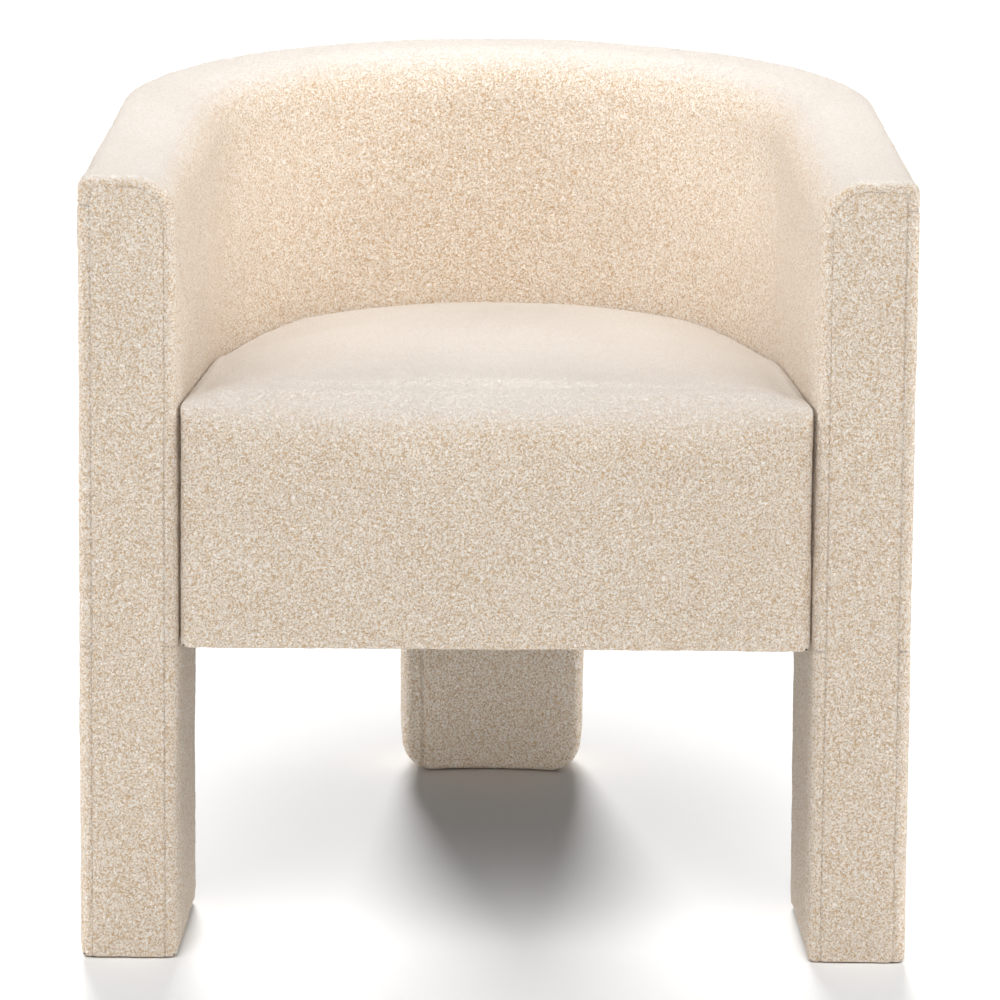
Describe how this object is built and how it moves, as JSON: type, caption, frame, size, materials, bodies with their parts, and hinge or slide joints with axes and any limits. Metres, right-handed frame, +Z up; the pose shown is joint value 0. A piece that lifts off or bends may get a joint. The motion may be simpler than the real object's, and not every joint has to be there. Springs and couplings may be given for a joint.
{
  "type": "upholstered armchair",
  "caption": "Upholstered barrel armchair: a curved back runs into straight arms, which go down as the front legs, with one rear leg and a fixed seat set between the arms.",
  "frame": {"origin": "centre of the chair's bounding box at floor level", "axes": "+Z up, -Y towards the front of the chair, +X towards the arm on the right of the chair as seen from the front"},
  "size_m": [0.7104, 0.7, 0.687],
  "materials": {
    "boucle": "matt cream boucle with small loops",
    "foam": "open cell polyurethane foam",
    "wadding": "polyester wadding",
    "felt": "needled felt",
    "dust_cloth": "black spunbonded cloth",
    "plywood": "raw birch plywood",
    "hardwood": "sawn hardwood",
    "fibreboard": "thin hardboard",
    "spring_steel": "oiled spring wire",
    "zinc_steel": "zinc plated",
    "glide_plastic": "moulded nylon"
  },
  "bodies": {
    "root": {"top_rail": "plywood", "mid_rail": "plywood", "arm_lower_rails": "plywood", "back_lower_rail": "plywood", "left_front_post": "hardwood", "right_front_post": "hardwood", "left_leg_post": "hardwood", "right_leg_post": "hardwood", "rear_leg_posts": "hardwood", "left_foot_block": "hardwood", "right_foot_block": "hardwood", "rear_foot_block": "hardwood", "lower_studs": "hardwood", "upper_studs": "hardwood", "inner_panel": "fibreboard", "outer_panel": "fibreboard", "front_leg_panels": "fibreboard", "rear_leg_panels": "fibreboard", "arm_inside_foams": "foam", "back_inside_foam": "foam", "arm_outside_foams": "foam", "back_outside_foam": "foam", "arm_top_foams": "foam", "back_top_foam": "foam", "left_arm_front_foam": "foam", "right_arm_front_foam": "foam", "left_leg_foam": "foam", "right_leg_foam": "foam", "rear_leg_foam": "foam", "inside_cover": "boucle", "outside_cover": "boucle", "left_arm_front_cover": "boucle", "right_arm_front_cover": "boucle", "left_leg_cover": "boucle", "right_leg_cover": "boucle", "rear_leg_cover": "boucle", "shell_bottom_cloths": "dust_cloth", "leg_bottom_cloths": "dust_cloth", "seat_front_rail": "hardwood", "seat_left_rail": "hardwood", "seat_right_rail": "hardwood", "seat_back_rail": "plywood", "seat_corner_blocks": "hardwood", "seat_springs": "spring_steel", "spring_clips": "spring_steel", "seat_felt": "felt", "seat_foam": "foam", "seat_front_foam": "foam", "seat_wadding": "wadding", "seat_cover": "boucle", "seat_dust_cover": "dust_cloth", "seat_bolts": "zinc_steel", "seat_washers": "zinc_steel", "tee_nuts": "zinc_steel", "seat_spacers": "hardwood", "left_glides": "glide_plastic", "right_glides": "glide_plastic", "rear_glides": "glide_plastic"}
  },
  "joints": []
}
